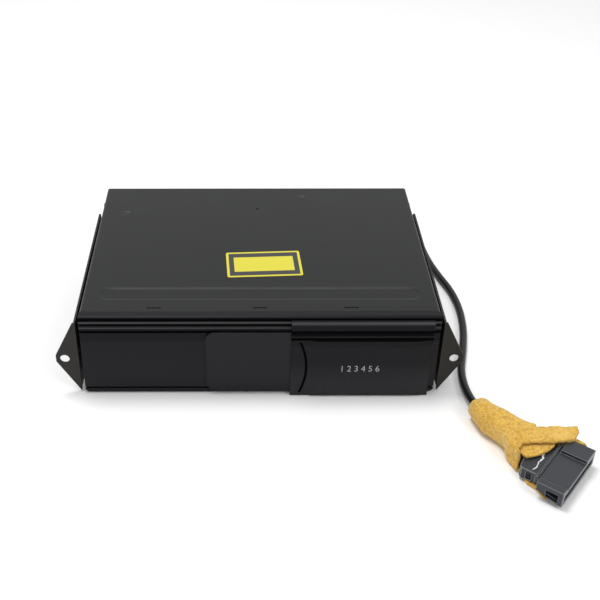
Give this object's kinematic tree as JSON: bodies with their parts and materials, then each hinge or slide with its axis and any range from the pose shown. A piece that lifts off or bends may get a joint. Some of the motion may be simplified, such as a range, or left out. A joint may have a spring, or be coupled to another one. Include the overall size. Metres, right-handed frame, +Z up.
{
  "type": "car disc changer",
  "caption": "Flat black car disc changer with telescoping sliding doors, side brackets, disc magazine, lifting play deck and a foam-wrapped data lead.",
  "frame": {"origin": "bottom centre of the changer without its lead, on the surface that it stands on", "axes": "+X to the right of the doors, +Y in through the doors, +Z up"},
  "size_m": [0.3735, 0.3766, 0.0688],
  "materials": {
    "case_steel": "zinc-plated sheet",
    "cover_paint": "satin dark grey",
    "label": "yellow printed film",
    "screw_steel": "zinc",
    "fascia_plastic": "satin black",
    "door_plastic": "satin black",
    "bracket_paint": "dark brown-black",
    "spacer_rubber": "matte",
    "magazine_plastic": "moulded",
    "tray_plastic": "moulded",
    "disc": "silver disc",
    "mechanism_plastic": "natural moulding",
    "deck_steel": "zinc-plated sheet",
    "bright_steel": "ground steel",
    "motor_can": "plated can",
    "lens": "clear",
    "board_green": "solder mask",
    "chip_plastic": "moulded",
    "heat_sink": "extruded",
    "cable_jacket": "satin jacket",
    "foam": "open foam",
    "connector_plastic": "moulded",
    "terminal_brass": "tinned"
  },
  "bodies": {
    "case": {"chassis_base": "case_steel", "top_cover": "cover_paint", "cover_screws": "screw_steel", "top_label": "label", "front_fascia": "fascia_plastic", "left_bracket": "bracket_paint", "right_bracket": "bracket_paint", "bracket_spacers": "spacer_rubber", "bracket_screws": "screw_steel", "bracket_nuts": "screw_steel", "magazine_cradle": "case_steel", "bulkhead": "case_steel", "gear_post": "screw_steel", "motor_bracket": "deck_steel", "lift_motor": "motor_can", "main_board": "board_green", "board_posts": "screw_steel", "board_chips": "chip_plastic", "board_capacitors": "chip_plastic", "heat_sink": "heat_sink", "lead_header": "chip_plastic", "cable_grommet": "spacer_rubber", "cable": "cable_jacket", "connector_housing": "connector_plastic", "connector_cap": "connector_plastic", "connector_terminals": "terminal_brass", "foam_wrap": "foam"},
    "door": {"outer_door": "door_plastic"},
    "leaf": {"inner_door": "door_plastic"},
    "button": {"eject_button": "door_plastic", "eject_link": "mechanism_plastic"},
    "magazine": {"magazine_case": "magazine_plastic", "tray_1": "tray_plastic", "tray_2": "tray_plastic", "tray_3": "tray_plastic", "tray_4": "tray_plastic", "tray_5": "tray_plastic", "tray_6": "tray_plastic", "disc_1": "disc", "disc_2": "disc", "disc_3": "disc", "disc_4": "disc", "disc_5": "disc", "disc_6": "disc"},
    "deck": {"deck_frame": "deck_steel", "deck_pins": "bright_steel", "spindle_motor": "motor_can", "guide_rod": "bright_steel", "sled_motor": "motor_can", "clamp_bridge": "deck_steel", "clamp_pin": "bright_steel"},
    "slide": {"lift_slide": "deck_steel"},
    "gear": {"lift_gear": "mechanism_plastic"},
    "pinion": {"motor_pinion": "mechanism_plastic"},
    "turntable": {"turntable": "mechanism_plastic"},
    "arm": {"clamp_arm": "deck_steel"},
    "puck": {"clamp_puck": "mechanism_plastic"},
    "sled": {"pickup_sled": "mechanism_plastic", "objective_lens": "lens"},
    "screw": {"lead_screw": "bright_steel"}
  },
  "joints": [
    {"name": "outer_door_slide", "type": "slide", "parent": "case", "child": "door", "axis": [-1, 0, 0], "range_m": [0, 0.148]},
    {"name": "inner_door_slide", "type": "slide", "parent": "case", "child": "leaf", "axis": [-1, 0, 0], "range_m": [0, 0.074]},
    {"name": "eject_press", "type": "slide", "parent": "case", "child": "button", "axis": [0, 1, 0], "range_m": [0, 0.0025], "stiffness_N_per_m": 250, "springref_m": -0.002},
    {"name": "magazine_slide", "type": "slide", "parent": "case", "child": "magazine", "axis": [0, -1, 0], "range_m": [0, 0.0076]},
    {"name": "deck_lift", "type": "slide", "parent": "case", "child": "deck", "axis": [0, 0, 1], "range_m": [0, 0.028]},
    {"name": "lift_slide_travel", "type": "slide", "parent": "case", "child": "slide", "axis": [-1, 0, 0], "range_m": [0, 0.028]},
    {"name": "lift_gear_turn", "type": "hinge", "parent": "case", "child": "gear", "pos_m": [-0.07, 0.076, 0.005], "axis": [0, 0, -1], "range_deg": [0, 267.5]},
    {"name": "motor_pinion_turn", "type": "hinge", "parent": "case", "child": "pinion", "pos_m": [-0.094, 0.076, 0.008], "axis": [0, 0, 1], "range_deg": [0, 802.5]},
    {"name": "turntable_spin", "type": "hinge", "parent": "deck", "child": "turntable", "pos_m": [-0.066, -0.0205, 0.012], "axis": [0, 0, 1], "continuous": true},
    {"name": "clamp_swing", "type": "hinge", "parent": "deck", "child": "arm", "pos_m": [-0.119, -0.0205, 0.019], "axis": [0, 1, 0], "range_deg": [-4, 0]},
    {"name": "puck_spin", "type": "hinge", "parent": "arm", "child": "puck", "pos_m": [-0.066, -0.0205, 0.017], "axis": [0, 0, 1], "continuous": true},
    {"name": "sled_travel", "type": "slide", "parent": "deck", "child": "sled", "axis": [0, 1, 0], "range_m": [0, 0.0325]},
    {"name": "lead_screw_turn", "type": "hinge", "parent": "deck", "child": "screw", "pos_m": [-0.05, 0, 0.008], "axis": [0, 1, 0], "range_deg": [0, 3901]}
  ],
  "couplings": [
    {"joint": "inner_door_slide", "follows": "outer_door_slide", "ratio": 0.5},
    {"joint": "lift_slide_travel", "follows": "deck_lift", "ratio": 1},
    {"joint": "lift_gear_turn", "follows": "deck_lift", "rad_per_m": 166.67},
    {"joint": "motor_pinion_turn", "follows": "deck_lift", "rad_per_m": 500},
    {"joint": "puck_spin", "follows": "turntable_spin", "ratio": 1},
    {"joint": "lead_screw_turn", "follows": "sled_travel", "rad_per_m": 2094.4}
  ]
}
